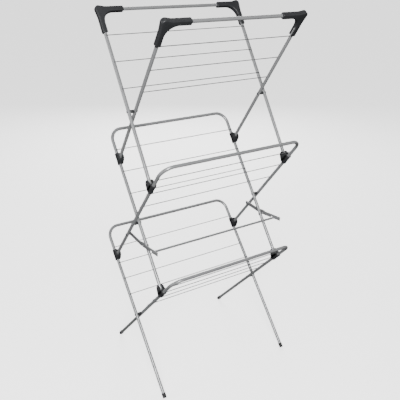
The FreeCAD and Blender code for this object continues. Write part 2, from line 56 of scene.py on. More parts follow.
# Lengths in these settings are in millimetres and leans in degrees. The finished meshes are in metres.
rack = {
    "outerHalf": 285.0,
    "innerHalf": 260.0,
    "tubeRadius": 6.0,
    "topLean": 34.3,
    "upperArm": 368.0,
    "lowerArm": 252.0,
    "footArm": 334.0,
    "pinOffset": 17.7,
    "tubeSides": 40,
    "collarSides": 40,
    "smallSides": 36,
    "sideClearance": 0.35,
    "smoothAngle": 35.0,
}
smoothAngle = math.radians(rack["smoothAngle"])
radius = rack["tubeRadius"]
leanStep = math.asin(rack["pinOffset"] / rack["lowerArm"])
topLean = math.radians(rack["topLean"])
leans = {"top": topLean, "middle": topLean + leanStep, "bottom": topLean + 2 * leanStep}
heights = {"bottom": rack["footArm"] * math.cos(leans["bottom"])}
heights["middle"] = heights["bottom"] + 2 * rack["lowerArm"] * math.cos(leans["middle"])
heights["top"] = heights["middle"] + 2 * rack["lowerArm"] * math.cos(leans["top"])
pinHeight = rack["lowerArm"] * math.cos(leanStep)
sides = (-1, 1)


# One flat frame. Its own Z runs up the legs from the crossing, and face is the side with the wires.
def flatFrame(tier, rear, half):
    turn = Matrix.Rotation(-leans[tier] if rear else leans[tier], 4, "X")
    end = "Rear" if rear else "Front"
    return {
        "name": tier + end,
        "node": "%s_%s" % (tier, end.lower()),
        "body": "%s_%s_frame" % (tier, end.lower()),
        "place": Matrix.Translation((0, 0, heights[tier])) @ turn,
        "face": -1 if rear else 1,
        "half": half,
        "tier": tier,
    }


outer, inner = rack["outerHalf"], rack["innerHalf"]
topFrames = [flatFrame("top", True, outer), flatFrame("top", False, inner)]
middleFrames = [flatFrame("middle", True, inner), flatFrame("middle", False, outer)]
bottomFrames = [flatFrame("bottom", True, outer), flatFrame("bottom", False, inner)]
hoopFrames = middleFrames + bottomFrames
upright = Matrix.Identity(4)


finishes = {
    "tube": {
        "colour": (0.30, 0.304, 0.31),
        "tone": (0.25, 0.254, 0.26),
        "wear": (0.42, 0.425, 0.43),
        "wearShare": 0.3,
        "metallic": 0.35,
        "edge": 0.3,
        "rough": (0.26, 0.34),
        "toneScale": 26.0,
        "grainScale": 1500.0,
        "grain": 0.00004,
        "stretch": (1.0, 1.0, 1.0),
    },
    "wire": {
        "colour": (0.12, 0.122, 0.125),
        "tone": (0.09, 0.092, 0.095),
        "wear": (0.22, 0.224, 0.23),
        "wearShare": 0.3,
        "metallic": 0.3,
        "edge": 0.4,
        "rough": (0.34, 0.48),
        "toneScale": 60.0,
        "grainScale": 2200.0,
        "grain": 0.00003,
        "stretch": (0.25, 1.0, 1.0),
    },
    "plastic": {
        "colour": (0.020, 0.021, 0.023),
        "tone": (0.028, 0.029, 0.031),
        "wear": (0.075, 0.077, 0.080),
        "wearShare": 0.3,
        "metallic": 0.0,
        "edge": 0.8,
        "rough": (0.42, 0.58),
        "toneScale": 45.0,
        "grainScale": 1100.0,
        "grain": 0.00012,
        "stretch": (1.0, 1.0, 1.0),
    },
    "rubber": {
        "colour": (0.016, 0.016, 0.017),
        "tone": (0.026, 0.026, 0.027),
        "wear": (0.055, 0.054, 0.052),
        "wearShare": 0.9,
        "metallic": 0.0,
        "edge": 0.7,
        "rough": (0.62, 0.80),
        "toneScale": 80.0,
        "grainScale": 900.0,
        "grain": 0.00010,
        "stretch": (1.0, 1.0, 1.0),
    },
    "rivet": {
        "colour": (0.20, 0.205, 0.215),
        "tone": (0.13, 0.134, 0.14),
        "wear": (0.42, 0.425, 0.43),
        "wearShare": 0.8,
        "metallic": 0.9,
        "edge": 0.7,
        "rough": (0.28, 0.45),
        "toneScale": 160.0,
        "grainScale": 2600.0,
        "grain": 0.00003,
        "stretch": (1.0, 1.0, 1.0),
    },
    "darkPin": {
        "colour": (0.045, 0.046, 0.048),
        "tone": (0.035, 0.036, 0.038),
        "wear": (0.12, 0.122, 0.125),
        "wearShare": 0.5,
        "metallic": 0.5,
        "edge": 0.5,
        "rough": (0.40, 0.52),
        "toneScale": 160.0,
        "grainScale": 2600.0,
        "grain": 0.00003,
        "stretch": (1.0, 1.0, 1.0),
    },
    "stay": {
        "colour": (0.24, 0.244, 0.25),
        "tone": (0.19, 0.194, 0.20),
        "wear": (0.36, 0.365, 0.37),
        "wearShare": 0.5,
        "metallic": 0.3,
        "edge": 0.5,
        "rough": (0.34, 0.50),
        "toneScale": 40.0,
        "grainScale": 1300.0,
        "grain": 0.00005,
        "stretch": (1.0, 0.12, 1.0),
    },
}


pattern = {"slowDetail": 5.0, "fineDetail": 3.0, "wearFrom": 0.35, "wearTo": 0.75, "bump": 0.8}


def link(tree, source, target):
    tree.links.new(source, target)


# Coated or moulded surface: slow tone changes, fine grain, and worn edges where the mesh is sharp.
def finish(name, look):
    material = bpy.data.materials.new(name + "Finish")
    material.use_nodes = True
    tree = material.node_tree
    shader = tree.nodes["Principled BSDF"]
    shader.inputs["Metallic"].default_value = look["metallic"]
    shader.inputs["Specular Tint"].default_value = (look["edge"], look["edge"], look["edge"], 1.0)

    where = tree.nodes.new("ShaderNodeTexCoord")
    scaled = tree.nodes.new("ShaderNodeMapping")
    scaled.inputs["Scale"].default_value = look["stretch"]
    link(tree, where.outputs["Object"], scaled.inputs["Vector"])

    slow = tree.nodes.new("ShaderNodeTexNoise")
    slow.inputs["Scale"].default_value = look["toneScale"]
    slow.inputs["Detail"].default_value = pattern["slowDetail"]
    link(tree, scaled.outputs["Vector"], slow.inputs["Vector"])
    fine = tree.nodes.new("ShaderNodeTexNoise")
    fine.inputs["Scale"].default_value = look["grainScale"]
    fine.inputs["Detail"].default_value = pattern["fineDetail"]
    link(tree, scaled.outputs["Vector"], fine.inputs["Vector"])

    tone = tree.nodes.new("ShaderNodeMix")
    tone.data_type = "RGBA"
    tone.inputs["A"].default_value = (*look["colour"], 1.0)
    tone.inputs["B"].default_value = (*look["tone"], 1.0)
    link(tree, slow.outputs["Fac"], tone.inputs["Factor"])

    rim = tree.nodes.new("ShaderNodeAttribute")
    rim.attribute_name = "rim"
    patchy = tree.nodes.new("ShaderNodeMapRange")
    patchy.inputs["From Min"].default_value = pattern["wearFrom"]
    patchy.inputs["From Max"].default_value = pattern["wearTo"]
    patchy.inputs["To Max"].default_value = look["wearShare"]
    link(tree, slow.outputs["Fac"], patchy.inputs["Value"])
    worn = tree.nodes.new("ShaderNodeMath")
    worn.operation = "MULTIPLY"
    link(tree, rim.outputs["Fac"], worn.inputs[0])
    link(tree, patchy.outputs["Result"], worn.inputs[1])
    base = tree.nodes.new("ShaderNodeMix")
    base.data_type = "RGBA"
    base.inputs["B"].default_value = (*look["wear"], 1.0)
    link(tree, worn.outputs["Value"], base.inputs["Factor"])
    link(tree, tone.outputs["Result"], base.inputs["A"])
    link(tree, base.outputs["Result"], shader.inputs["Base Color"])

    rough = tree.nodes.new("ShaderNodeMapRange")
    rough.inputs["To Min"].default_value = look["rough"][0]
    rough.inputs["To Max"].default_value = look["rough"][1]
    link(tree, slow.outputs["Fac"], rough.inputs["Value"])
    link(tree, rough.outputs["Result"], shader.inputs["Roughness"])

    bump = tree.nodes.new("ShaderNodeBump")
    bump.inputs["Strength"].default_value = pattern["bump"]
    bump.inputs["Distance"].default_value = look["grain"]
    link(tree, fine.outputs["Fac"], bump.inputs["Height"])
    link(tree, bump.outputs["Normal"], shader.inputs["Normal"])
    return material


materials = {name: finish(name, look) for name, look in finishes.items()}
print("materials", len(materials))


# A closed mesh from lists of corner points, with its sharp edges rounded by softness.
def shell(faces, softness=0.0, steps=3):
    bm = bmesh.new()
    known = {}
    for face in faces:
        corners = []
        for point in face:
            key = tuple(round(c, 4) for c in point)
            if key not in known:
                known[key] = bm.verts.new(point)
            corners.append(known[key])
        bm.faces.new(corners)
    bmesh.ops.recalc_face_normals(bm, faces=bm.faces)
    if softness:
        sharp = [e for e in bm.edges if len(e.link_faces) == 2 and e.calc_face_angle() > 0.5]
        bmesh.ops.bevel(bm, geom=sharp, offset=softness, segments=steps, profile=0.5, affect="EDGES")
    return bm


# A flat outline given thickness along X, or along Y. The outline's pairs are the other two axes.
def plate(outline, near, far, softness, steps=3, axis="X"):

    def place(pair, depth):
        return (depth, *pair) if axis == "X" else (pair[0], depth, pair[1])

    low = [place(p, near) for p in outline]
    high = [place(p, far) for p in outline]
    count = len(outline)
    faces = [low[::-1], high]
    for i in range(count):
        j = (i + 1) % count
        faces.append([low[i], low[j], high[j], high[i]])
    return shell(faces, softness, steps)


# A profile of (radius, height) pairs turned round Z. A ring's profile closes on itself.
def lathe(profile, count, place=upright, ring=False):
    bm = bmesh.new()
    loops = []
    for reach, height in profile:
        if reach < 1e-6:
            loops.append([bm.verts.new((0, 0, height))] * count)
            continue
        angles = [2 * math.pi * i / count for i in range(count)]
        loops.append([bm.verts.new((reach * math.cos(a), reach * math.sin(a), height)) for a in angles])
    pairs = list(zip(loops, loops[1:]))
    if ring:
        pairs.append((loops[-1], loops[0]))
    for first, second in pairs:
        for i in range(count):
            j = (i + 1) % count
            corners = list(dict.fromkeys((first[i], first[j], second[j], second[i])))
            bm.faces.new(corners)
    bmesh.ops.recalc_face_normals(bm, faces=bm.faces)
    bm.transform(place)
    return bm


# A round bar along a path that lies in one plane with X, with its ends rounded by lip.
def sweep(path, reach, count, lip=0.0):
    bm = bmesh.new()
    loops = []
    across = Vector((0, 1, 0))
    last = len(path) - 1
    for i, point in enumerate(path):
        along = (path[min(i + 1, last)] - path[max(i - 1, 0)]).normalized()
        side = along.cross(across).normalized()
        size = reach - lip if lip and i in (0, last) else reach
        ring = []
        for k in range(count):
            angle = 2 * math.pi * k / count
            ring.append(bm.verts.new(point + size * (math.cos(angle) * side + math.sin(angle) * across)))
        loops.append(ring)
    for first, second in zip(loops, loops[1:]):
        for k in range(count):
            j = (k + 1) % count
            bm.faces.new((first[k], first[j], second[j], second[k]))
    bm.faces.new(loops[0][::-1])
    bm.faces.new(loops[-1])
    bmesh.ops.recalc_face_normals(bm, faces=bm.faces)
    return bm


# Moves a lathe's Z axis to a point and turns it along an axis.
def facing(point, axis):
    return Matrix.Translation(point) @ Vector(axis).to_track_quat("Z", "Y").to_matrix().to_4x4()


# Points on the circle through three points, without the first one.
def arc(start, middle, end, count):
    (ax, ay), (bx, by), (cx, cy) = start, middle, end
    d = 2 * (ax * (by - cy) + bx * (cy - ay) + cx * (ay - by))
    a2, b2, c2 = ax * ax + ay * ay, bx * bx + by * by, cx * cx + cy * cy
    ux = (a2 * (by - cy) + b2 * (cy - ay) + c2 * (ay - by)) / d
    uy = (a2 * (cx - bx) + b2 * (ax - cx) + c2 * (bx - ax)) / d
    reach = math.hypot(ax - ux, ay - uy)
    turns = [math.atan2(y - uy, x - ux) for x, y in (start, middle, end)]
    full = 2 * math.pi
    toMiddle, toEnd = (turns[1] - turns[0]) % full, (turns[2] - turns[0]) % full
    span = toEnd if toMiddle < toEnd else toEnd - full
    steps = [turns[0] + span * (i + 1) / count for i in range(count)]
    return [(ux + reach * math.cos(a), uy + reach * math.sin(a)) for a in steps]


# An outline from (x, y) corners, where (x, y, midX, midY) is reached by an arc.
def traced(points, count=10):
    result = []
    start = points[-1][:2]
    for point in points:
        if len(point) == 2:
            result.append(point)
        else:
            result.extend(arc(start, point[2:], point[:2], count))
        start = point[:2]
    return result


# Where the line from a point touches a circle.
def touching(point, centre, reach, turn):
    dx, dy = point[0] - centre[0], point[1] - centre[1]
    angle = math.atan2(dy, dx) + turn * math.acos(reach / math.hypot(dx, dy))
    return centre[0] + reach * math.cos(angle), centre[1] + reach * math.sin(angle)


rims = {"flat": 0.985, "gain": 14}


# Writes how far each vertex stands on a rounded edge, for the worn edges in the materials.
def markRims(bm):
    layer = bm.verts.layers.float.get("rim") or bm.verts.layers.float.new("rim")
    bm.normal_update()
    for vert in bm.verts:
        flatness = min((vert.normal.dot(f.normal) for f in vert.link_faces), default=1.0)
        vert[layer] = min(1.0, max(0.0, (rims["flat"] - flatness) * rims["gain"]))


# Joins shells into one object at the origin, in metres.
def assemble(name, shells, place, material):
    bm = bmesh.new()
    for part in shells:
        held = bpy.data.meshes.new("held")
        part.to_mesh(held)
        part.free()
        bm.from_mesh(held)
        bpy.data.meshes.remove(held)
    bm.transform(Matrix.Scale(mm, 4) @ place)
    markRims(bm)
    mesh = bpy.data.meshes.new(name)
    bm.to_mesh(mesh)
    bm.free()
    mesh.materials.append(materials[material])
    mesh.shade_smooth()
    mesh.set_sharp_from_angle(angle=smoothAngle)
    item = bpy.data.objects.new(name, mesh)
    bpy.context.scene.collection.objects.link(item)
    return item


def attach(item, body, nodes):
    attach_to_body(item, body)
    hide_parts(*nodes)


# A tree with a geometry input and output and further named inputs, and its two end nodes.
def newTree(name, sockets):
    tree = bpy.data.node_groups.new(name, "GeometryNodeTree")
    tree.interface.new_socket("Geometry", in_out="INPUT", socket_type="NodeSocketGeometry")
    tree.interface.new_socket("Geometry", in_out="OUTPUT", socket_type="NodeSocketGeometry")
    for label, kind in sockets:
        tree.interface.new_socket(label, in_out="INPUT", socket_type="NodeSocket" + kind)
    return tree, tree.nodes.new("NodeGroupInput"), tree.nodes.new("NodeGroupOutput")


# The shared end of both trees: real geometry from the copies, and one material.
def closeTree(tree, start, end, copies):
    real = tree.nodes.new("GeometryNodeRealizeInstances")
    painted = tree.nodes.new("GeometryNodeSetMaterial")
    link(tree, copies.outputs["Instances"], real.inputs["Geometry"])
    link(tree, real.outputs["Geometry"], painted.inputs["Geometry"])
    link(tree, start.outputs["Material"], painted.inputs["Material"])
    link(tree, painted.outputs["Geometry"], end.inputs["Geometry"])


# Repeats the object's own mesh along a straight row.
def rowTree():
    tree, start, end = newTree(
        "Row", [("Count", "Int"), ("First", "Vector"), ("Step", "Vector"), ("Material", "Material")]
    )
    row = tree.nodes.new("GeometryNodeMeshLine")
    row.mode = "OFFSET"
    copies = tree.nodes.new("GeometryNodeInstanceOnPoints")
    link(tree, start.outputs["Count"], row.inputs["Count"])
    link(tree, start.outputs["First"], row.inputs["Start Location"])
    link(tree, start.outputs["Step"], row.inputs["Offset"])
    link(tree, row.outputs["Mesh"], copies.inputs["Points"])
    link(tree, start.outputs["Geometry"], copies.inputs["Instance"])
    closeTree(tree, start, end, copies)
    return tree


# Sets a part on each vertex of the object's mesh, turned by the vertex's own turn attribute.
def spotTree():
    tree, start, end = newTree("Spots", [("Part", "Object"), ("Material", "Material")])
    part = tree.nodes.new("GeometryNodeObjectInfo")
    turn = tree.nodes.new("GeometryNodeInputNamedAttribute")
    turn.data_type = "FLOAT_VECTOR"
    turn.inputs["Name"].default_value = "turn"
    spun = tree.nodes.new("FunctionNodeEulerToRotation")
    copies = tree.nodes.new("GeometryNodeInstanceOnPoints")
    link(tree, start.outputs["Part"], part.inputs["Object"])
    link(tree, turn.outputs["Attribute"], spun.inputs["Euler"])
    link(tree, start.outputs["Geometry"], copies.inputs["Points"])
    link(tree, part.outputs["Geometry"], copies.inputs["Instance"])
    link(tree, spun.outputs["Rotation"], copies.inputs["Rotation"])
    closeTree(tree, start, end, copies)
    return tree


# Sets a tree's inputs by their sockets' identifiers, evaluates it and keeps only the mesh.
def bake(item, tree, values):
    modifier = item.modifiers.new(tree.name, "NODES")
    modifier.node_group = tree
    for socket in tree.interface.items_tree:
        if socket.in_out == "INPUT" and socket.name in values:
            modifier[socket.identifier] = values[socket.name]
    item.update_tag()
    bpy.context.view_layer.update()
    found = item.evaluated_get(bpy.context.evaluated_depsgraph_get())
    mesh = bpy.data.meshes.new_from_object(found)
    item.modifiers.clear()
    item.data = mesh
    mesh.name = item.name
    mesh.shade_smooth()
    mesh.set_sharp_from_angle(angle=smoothAngle)
    return item


row, spots = rowTree(), spotTree()


tubes = {
    "bend": 45.0,
    "bendSteps": 20,
    "beyondPin": 4.0,
    "footEnd": 326.0,
    "lip": 0.5,
}


# Path of a straight tube, with a ring just inside each end for its rounded lip.
def straight(a, b, lip):
    a, b = Vector(a), Vector(b)
    along = (b - a).normalized()
    return [a, a + lip * along, b - lip * along, b]


def hoopPath(half, low):
    bend, top, lip = tubes["bend"], rack["upperArm"], tubes["lip"]
    path = [Vector((-half, 0, -low)), Vector((-half, 0, lip - low))]
    for sign, first in ((-1, math.pi), (1, math.pi / 2)):
        centre = Vector((sign * (half - bend), 0, top - bend))
        for i in range(tubes["bendSteps"] + 1):
            angle = first - math.pi / 2 * i / tubes["bendSteps"]
            path.append(centre + bend * Vector((math.cos(angle), 0, math.sin(angle))))
    return path + [Vector((half, 0, lip - low)), Vector((half, 0, -low))]


count, lip = rack["tubeSides"], tubes["lip"]
legEnd = rack["lowerArm"] + tubes["beyondPin"]
for item in topFrames:
    half, top = item["half"], rack["upperArm"]
    paths = [straight((s * half, 0, -legEnd), (s * half, 0, top + radius), lip) for s in sides]
    paths.append(straight((radius - half, 0, top), (half - radius, 0, top), lip))
    bars = [sweep(p, radius, count, lip) for p in paths]
    made = assemble(item["name"] + "Tubes", bars, item["place"], "tube")
    nodes = [item["node"] + tail for tail in ("_bar", "_leg_left", "_leg_right")]
    attach(made, item["body"], nodes)
for item in hoopFrames:
    low = tubes["footEnd"] if item["tier"] == "bottom" else legEnd
    path = hoopPath(item["half"], low)
    made = assemble(item["name"] + "Hoop", [sweep(path, radius, count, lip)], item["place"], "tube")
    attach(made, item["body"], [item["node"] + "_hoop"])
print("tubes", len(topFrames) + len(hoopFrames))


wires = {
    "radius": 1.5,
    "lift": 7.3,
    "overhang": 2.5,
    "sides": 14,
    "rows": {
        "top": (3, 271.7, 96.3),  # number of wires, the uppermost one's height on the legs, and their pitch
        "middle": (3, 285.8, 87.1),
        "bottom": (4, 281.2, 66.0),
    },
    "bead": (2.7, 1.35, 2.3),  # half sizes of the weld bead, along X, off the tube and along the leg
    "beadDrop": 1.05,
}
for item in topFrames + hoopFrames:
    number, up, pitch = wires["rows"][item["tier"]]
    reach, end, face = wires["radius"], item["half"] + wires["overhang"], item["face"]
    rod = []
    for x, share in ((-end, 0.0), (-end + 0.15, 0.55), (-end + 0.6, 0.87), (-end + 1.3, 1.0)):
        rod.append((reach * share, x))
    profile = rod + [(r, -x) for r, x in rod[::-1]]
    shells = [lathe(profile, wires["sides"], facing((0, 0, 0), (1, 0, 0)))]
    for sign in sides:
        bead = bmesh.new()
        bmesh.ops.create_uvsphere(bead, u_segments=14, v_segments=8, radius=1.0)
        drop = Matrix.Translation((sign * item["half"], -face * wires["beadDrop"], 0))
        bead.transform(drop @ Matrix.Diagonal((*wires["bead"], 1.0)))
        shells.append(bead)
    made = assemble(item["name"] + "Wires", shells, upright, "wire")
    turn = item["place"].to_3x3()
    made.data.transform(turn.to_4x4())
    start = mm * (item["place"] @ Vector((0, face * wires["lift"], up)))
    down = mm * (turn @ Vector((0, 0, -pitch)))
    bake(made, row, {"Count": number, "First": start, "Step": down, "Material": materials["wire"]})
    attach(made, item["body"], [item["node"] + "_wires"])
print("wires done")


connectors = {
    "sleeve": 9.0,
    "above": 21.0,
    "below": 22.0,
    "tip": 8.0,
    "lobe": 14.5,
    "slot": 12.7,
    "cheek": 4.0,
    "softness": 1.3,
    "collar": 0.55,
    "boss": 7.2,
    "bossHeight": 0.45,
    "swing": 9.29,
    "slotFloor": 6.8,
    "floorTurn": 0.75,  # radians, where the pocket's wall starts round the swing
    "ribs": 3,
    "ribStep": 3.2,
    "firstRib": 6.0,
    "bandHeight": 3.0,
    "inset": 1.5,
    "webInset": 0.8,
    "web": ((6.2, -19.0), (9.0, -17.5), (9.0, 17.0), (6.2, 18.5)),  # off the tube's axis, up the leg
}


# Side view of a connector as (off the tube, up the tube), cut off at the widest reach.
def cheekOutline(face, foot, widest):
    c = connectors
    centre = (rack["pinOffset"], 0.0)
    lowEdge = (c["tip"], -c["below"])
    lowTouch = touching(lowEdge, centre, c["lobe"], 1)
    highTouch = touching((0.0, c["above"]), centre, c["lobe"], -1)
    crest = (centre[0] + c["lobe"], 0.0)
    points = [(0.0, -c["below"]), lowEdge, lowTouch, highTouch + crest, (0.0, c["above"])]
    line = traced(points, 22)
    if widest:
        kept = [p for p in line if p[0] <= widest]
        upper = c["above"] + (highTouch[1] - c["above"]) * widest / highTouch[0]
        span = (widest - lowEdge[0]) / (lowTouch[0] - lowEdge[0])
        lower = lowEdge[1] + (lowTouch[1] - lowEdge[1]) * span
        line = kept[:2] + [(widest, lower), (widest, upper)] + kept[2:]
    return [(face * a, foot + b) for a, b in line]


# Side view of the wall that closes a connector's pocket below the pinned leg.
def pocketFloor(face, foot):
    c = connectors
    middle, reach, floor = rack["pinOffset"], c["lobe"], -c["slotFloor"]
    lowEdge = (c["tip"], -c["below"])
    lowTouch = touching(lowEdge, (middle, 0.0), reach, 1)
    outerEnd = math.asin(floor / reach)
    start = math.atan2(lowTouch[1], lowTouch[0] - middle)
    outside = [start + (outerEnd - start) * i / 10 for i in range(11)]
    innerEnd = math.asin(floor / c["swing"])
    innerStart = c["floorTurn"] - math.pi
    inside = [innerEnd + (innerStart - innerEnd) * i / 12 for i in range(13)]
    line = [lowEdge] + [(middle + reach * math.cos(a), reach * math.sin(a)) for a in outside]
    line += [(middle + c["swing"] * math.cos(a), c["swing"] * math.sin(a)) for a in inside]
    line.append((c["tip"], line[-1][1]))
    return [(face * a, foot + b) for a, b in line]


# A sleeve round a tube as a closed ring profile with rounded lips.
def tubeCollar(inside, outside, low, high, edge):
    crest = 0.3 * edge
    return [
        (inside, low + edge),
        (inside + edge, low),
        (outside - edge, low),
        (outside - crest, low + crest),
        (outside, low + edge),
        (outside, high - edge),
        (outside - crest, high - crest),
        (outside - edge, high),
        (inside + edge, high),
        (inside, high - edge),
    ]


for item in hoopFrames:
    c, face = connectors, item["face"]
    shells, edge = [], c["slot"] / 2 + c["cheek"]
    for sign in sides:
        x = sign * item["half"]
        sleeve = tubeCollar(radius, c["sleeve"], pinHeight - c["below"], pinHeight + c["above"], 0.8)
        shells.append(lathe(sleeve, rack["collarSides"], Matrix.Translation((x, 0, 0)), ring=True))
        for low in (pinHeight - c["below"], pinHeight + c["above"] - c["bandHeight"]):
            band = tubeCollar(c["sleeve"] - 0.5, c["sleeve"] + c["collar"], low, low + c["bandHeight"], 0.45)
            shells.append(lathe(band, rack["collarSides"], Matrix.Translation((x, 0, 0)), ring=True))
        core = cheekOutline(face, pinHeight, c["sleeve"])
        for near, far in ((-edge, -radius + 0.4), (radius - 0.4, edge)):
            shells.append(plate(core, x + near, x + far, c["softness"]))
        wall = [(face * a, pinHeight + b) for a, b in c["web"]]
        shells.append(plate(wall, x - edge + c["webInset"], x + edge - c["webInset"], 0.5, 2))
        floorLine = pocketFloor(face, pinHeight)
        shells.append(plate(floorLine, x - edge + c["inset"], x + edge - c["inset"], 0.5, 2))
        full = cheekOutline(face, pinHeight, 0)
        for way in sides:
            ends = sorted((x + way * c["slot"] / 2, x + way * edge))
            shells.append(plate(full, ends[0], ends[1], c["softness"]))
            boss = [(0, c["bossHeight"]), (c["boss"] - 0.5, c["bossHeight"]), (c["boss"], 0), (0, -0.4)]
            spot = (x + way * edge, face * rack["pinOffset"], pinHeight)
            shells.append(lathe(boss, rack["smallSides"], facing(spot, (way, 0, 0))))
    made = assemble(item["name"] + "Connectors", shells, item["place"], "plastic")
    nodes = [item["node"] + "_connector_" + side for side in ("left", "right")]
    attach(made, item["body"], nodes)

    ribs = []
    for sign in sides:
        grip = tubeCollar(c["sleeve"] - 0.4, c["sleeve"] + 0.35, -0.6, 0.6, 0.25)
        spot = Matrix.Translation((sign * item["half"], 0, 0))
        ribs.append(lathe(grip, rack["collarSides"], spot, ring=True))
    made = assemble(item["name"] + "Grips", ribs, upright, "plastic")
    turn = item["place"].to_3x3()
    made.data.transform(turn.to_4x4())
    start = mm * (item["place"] @ Vector((0, 0, pinHeight - c["below"] + c["firstRib"])))
    step = mm * (turn @ Vector((0, 0, c["ribStep"])))
    bake(made, row, {"Count": c["ribs"], "First": start, "Step": step, "Material": materials["plastic"]})
    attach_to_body(made, item["body"])
print("connectors", 2 * len(hoopFrames))


corners = {
    "half": 9.3,
    "barReach": 90.0,
    "legReach": 86.0,
    "innerRadius": 40.0,
    "ear": 12.0,
    "earInset": 1.0,
    "earRise": 2.0,
    "earRun": 22.0,
    "earDrop": 28.0,
    "softness": 4.2,
    "slotWidth": 12.2,
    "slotLength": 36.0,
    "hollow": 6.05,
    "hollowDepth": 5.0,
}


# Side view of a corner as (toward the middle, up) from where the two tube axes meet.
def cornerOutline():
    c = corners
    half, bend = c["half"], c["innerRadius"]
    ear, reach = (-c["earInset"], c["earRise"]), c["ear"]
    earTop = touching((c["earRun"], half), ear, reach, 1)
    earSide = touching((-half, -c["earDrop"]), ear, reach, -1)
    diagonal = reach * math.sqrt(0.5)
    inset = bend * (1 - math.sqrt(0.5))
    points = [
        (c["barReach"], -half),
        (c["barReach"], half),
        (c["earRun"], half),
        earTop,
        earSide + (ear[0] - diagonal, ear[1] + diagonal),
        (-half, -c["earDrop"]),
        (-half, -c["legReach"]),
        (half, -c["legReach"]),
        (half, -half - bend),
        (half + bend, -half, half + inset, -half - inset),
    ]
    return traced(points, 18)


# Takes the cutter's shape out of an object's mesh.
def carve(item, cutter):
    modifier = item.modifiers.new("carve", "BOOLEAN")
    modifier.operation = "DIFFERENCE"
    modifier.solver = "EXACT"
    modifier.object = cutter
    bpy.context.view_layer.update()
    found = item.evaluated_get(bpy.context.evaluated_depsgraph_get())
    mesh = bpy.data.meshes.new_from_object(found)
    item.modifiers.clear()
    item.data = mesh
    bpy.data.objects.remove(cutter)


for item in topFrames:
    c, blocks, cutters = corners, [], []
    for sign in sides:
        x, top = sign * item["half"], rack["upperArm"]
        line = [(x - sign * a, top + b) for a, b in cornerOutline()]
        blocks.append(plate(line, -c["half"], c["half"], c["softness"], 5, axis="Y"))
        low, inward = top - c["legReach"], x - sign * c["barReach"]
        wide, high = c["slotWidth"] / 2, low + c["slotLength"]
        slot = [(x, low - 2.0), (inward, low - 2.0), (inward, high), (x, high)]
        cutters.append(plate(slot, -wide, wide, 0.0, axis="Y"))
        for spot, axis in (((x, 0, low), (0, 0, -1)), ((x - sign * c["barReach"], 0, top), (-sign, 0, 0))):
            well = [(0, -c["hollowDepth"]), (c["hollow"], -c["hollowDepth"]), (c["hollow"], 2.0), (0, 2.0)]
            cutters.append(lathe(well, rack["collarSides"], facing(spot, axis)))
    made = assemble(item["name"] + "Corners", blocks, item["place"], "plastic")
    for cutter in cutters:
        carve(made, assemble("cutter", [cutter], item["place"], "plastic"))
    made.data.shade_smooth()
    made.data.set_sharp_from_angle(angle=smoothAngle)
    nodes = [item["node"] + "_corner_" + side for side in ("left", "right")]
    attach(made, item["body"], nodes)
print("corners", 2 * len(topFrames))


feet = {
    "radius": 7.5,
    "top": 22.0,
    "end": 3.5,
    "bead": 0.5,
    "ringStep": 3.6,
    "firstRing": 12.4,
    "baseSoftness": 0.3,
}
plugHead = 2.0


# A cap round the end of a leg, cut flat on the floor.
def footShell(x, item):
    f = feet
    reach, low, high = f["radius"], f["end"] - rack["footArm"], f["top"] - rack["footArm"]
    profile = [
        (0, low),
        (reach - 1.1, low),
        (reach - 0.45, low + 0.2),
        (reach - 0.1, low + 0.6),
        (reach, low + 1.2),
        (reach, high - 2.6),
        (reach + f["bead"], high - 2.1),
        (reach + f["bead"], high - 0.7),
        (reach + f["bead"] - 0.4, high - 0.2),
        (reach - 0.2, high),
        (radius, high),
        (radius, high - 1.0),
        (0, high - 1.0),
    ]
    bm = lathe(profile, rack["collarSides"], Matrix.Translation((x, 0, 0)))
    toFloor = item["place"].inverted()
    base = toFloor @ Vector((x, 0, 0))
    up = toFloor.to_3x3() @ Vector((0, 0, 1))
    geometry = bm.verts[:] + bm.edges[:] + bm.faces[:]
    done = bmesh.ops.bisect_plane(bm, geom=geometry, plane_co=base, plane_no=up, clear_inner=True)
    rim = [e for e in done["geom_cut"] if isinstance(e, bmesh.types.BMEdge)]
    bmesh.ops.contextual_create(bm, geom=rim)
    bmesh.ops.recalc_face_normals(bm, faces=bm.faces)
    bmesh.ops.bevel(
        bm, geom=rim, offset=f["baseSoftness"], segments=2, profile=0.5, affect="EDGES", clamp_overlap=True
    )
    return bm


# A plug pressed in a leg's lower end, with a rounded head.
def plugShell(x):
    end, tip = -legEnd, -legEnd - plugHead
    profile = [
        (0, tip),
        (radius - 1.5, tip),
        (radius - 0.6, tip + 0.25),
        (radius - 0.1, tip + 0.9),
        (radius + 0.1, end - 0.5),
        (radius + 0.1, end),
        (radius - 0.9, end),
        (radius - 0.9, end + 1.0),
        (0, end + 1.0),
    ]
    return lathe(profile, rack["smallSides"], Matrix.Translation((x, 0, 0)))


for item in bottomFrames:
    shells = [footShell(sign * item["half"], item) for sign in sides]
    made = assemble(item["name"] + "Feet", shells, item["place"], "rubber")
    attach(made, item["body"], [item["node"] + "_feet"])
    rings = []
    for sign in sides:
        profile = tubeCollar(feet["radius"] - 0.3, feet["radius"] + 0.3, -0.55, 0.55, 0.22)
        spot = Matrix.Translation((sign * item["half"], 0, 0))
        rings.append(lathe(profile, rack["smallSides"], spot, ring=True))
    made = assemble(item["name"] + "FootRings", rings, upright, "rubber")
    turn = item["place"].to_3x3()
    made.data.transform(turn.to_4x4())
    start = mm * (item["place"] @ Vector((0, 0, feet["firstRing"] - rack["footArm"])))
    step = mm * (turn @ Vector((0, 0, feet["ringStep"])))
    bake(made, row, {"Count": 2, "First": start, "Step": step, "Material": materials["rubber"]})
    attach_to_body(made, item["body"])
for item in topFrames + middleFrames:
    shells = [plugShell(sign * item["half"]) for sign in sides]
    made = assemble(item["name"] + "Plugs", shells, item["place"], "plastic")
    attach(made, item["body"], [item["node"] + "_end_plugs"])
print("feet and plugs done")


